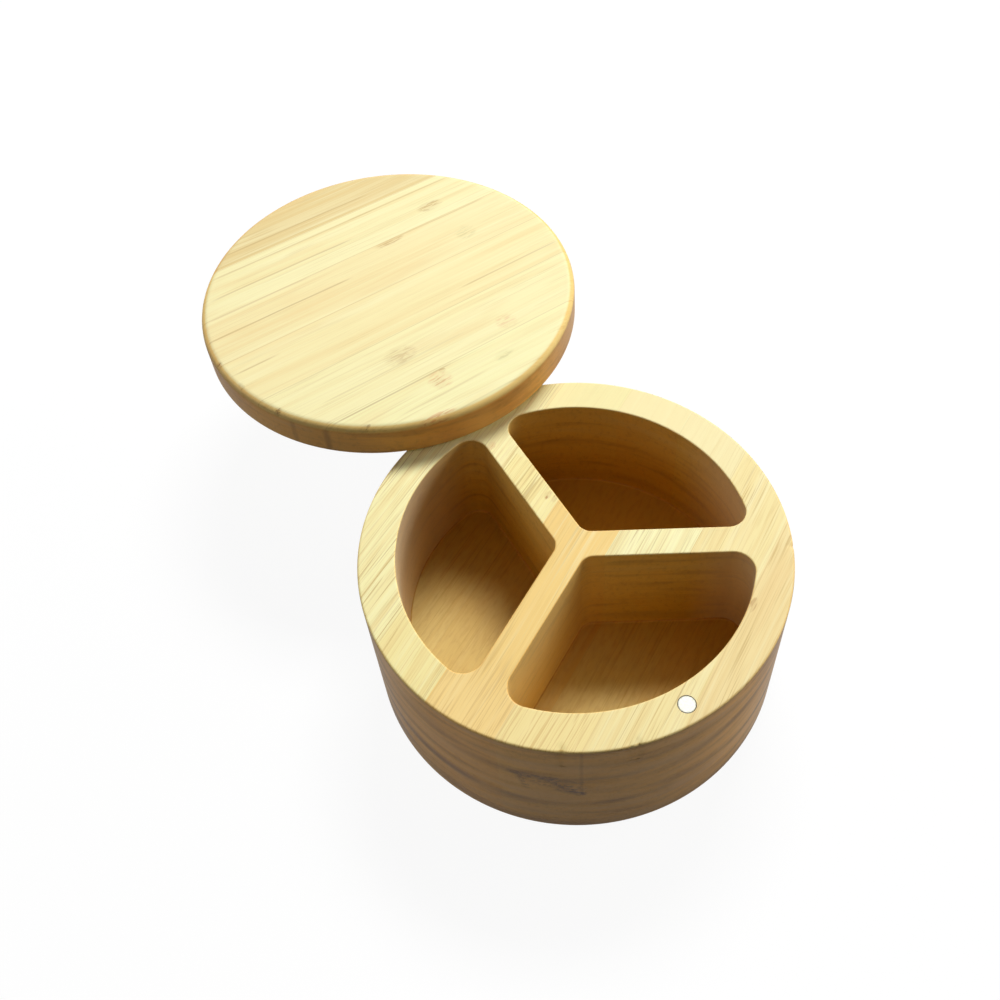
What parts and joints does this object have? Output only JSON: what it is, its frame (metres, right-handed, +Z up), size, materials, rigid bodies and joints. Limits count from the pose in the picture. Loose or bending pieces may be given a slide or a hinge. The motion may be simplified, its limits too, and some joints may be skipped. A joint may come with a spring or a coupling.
{
  "type": "spice box",
  "caption": "Round laminated bamboo spice box with wedge-shaped pockets and a flat lid that swivels on a pin in the rim and is held shut by magnets.",
  "frame": {"origin": "centre of the box's round underside, on the surface it stands on", "axes": "+Z up; +Y from the box's centre to the lid's pivot pin; the rim's magnet is on -Y; the lid is at rest swung open, as pictured"},
  "size_m": [0.1572, 0.2866, 0.0743],
  "materials": {
    "bamboo_box": "sanded and lightly oiled bamboo",
    "bamboo_lid": "sanded and lightly oiled bamboo",
    "steel_pin": "ground steel",
    "nickel_magnet": "nickel plate"
  },
  "bodies": {
    "box": {"base_ply": "bamboo_box", "floor_ply": "bamboo_box", "lower_wall_ply": "bamboo_box", "middle_wall_ply": "bamboo_box", "upper_wall_ply": "bamboo_box", "rim_ply": "bamboo_box", "pivot_pin": "steel_pin", "rim_magnet": "nickel_magnet"},
    "lid": {"lid_strip_1": "bamboo_lid", "lid_strip_2": "bamboo_lid", "lid_strip_3": "bamboo_lid", "lid_strip_4": "bamboo_lid", "lid_strip_5": "bamboo_lid", "lid_strip_6": "bamboo_lid", "lid_magnet": "nickel_magnet"}
  },
  "joints": [
    {"name": "lid_swivel", "type": "hinge", "parent": "box", "child": "lid", "pos_m": [0, 0.0685, 0.06], "axis": [0, 0, 1], "range_deg": [-186, 174]}
  ]
}
